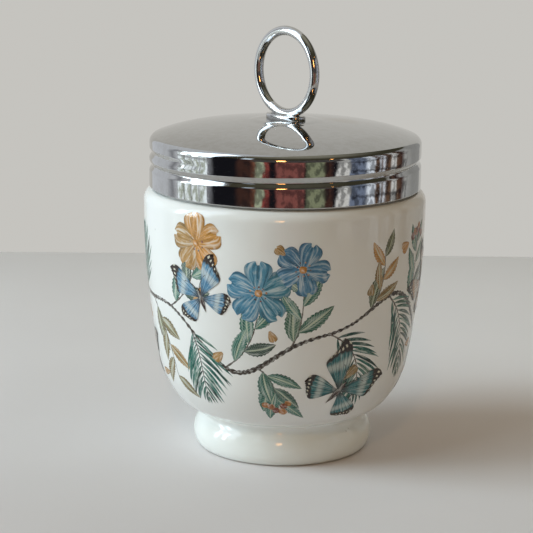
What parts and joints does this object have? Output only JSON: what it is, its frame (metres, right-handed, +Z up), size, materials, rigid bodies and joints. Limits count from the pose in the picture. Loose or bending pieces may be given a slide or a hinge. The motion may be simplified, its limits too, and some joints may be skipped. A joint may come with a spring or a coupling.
{
  "type": "egg coddler",
  "caption": "Round porcelain cup on a rolled foot, closed by a pressed metal screw cap with a rolled thread, a domed crown and a standing wire lift ring.",
  "frame": {"origin": "centre of the foot's underside, in the plane of the table", "axes": "+Z up along the cup's axis; the lift ring lies in the XZ plane, so its hole runs along Y"},
  "size_m": [0.0584, 0.0584, 0.0883],
  "materials": {
    "porcelain": "white glazed porcelain with an on-glaze printed garland",
    "seal_rubber": "soft matt rubber, pale grey",
    "cap_chrome": "polished chrome plate on a pressed sheet",
    "ring_chrome": "polished chrome plate on wire",
    "washer_steel": "plain steel, dull"
  },
  "bodies": {
    "cup": {"porcelain_cup": "porcelain"},
    "seal": {"sealing_washer": "seal_rubber"},
    "cap": {"screw_cap": "cap_chrome", "ring_foot": "ring_chrome", "ring_washer": "washer_steel", "lift_ring": "ring_chrome"}
  },
  "joints": [
    {"name": "cap_rise", "type": "slide", "parent": "cup", "child": "seal", "axis": [0, 0, 1], "range_m": [0, 0.0104]},
    {"name": "cap_turn", "type": "hinge", "parent": "seal", "child": "cap", "pos_m": [0, 0, 0.0605], "axis": [0, 0, 1], "range_deg": [0, 1440]}
  ],
  "couplings": [
    {"joint": "cap_turn", "follows": "cap_rise", "rad_per_m": 2416.6}
  ]
}
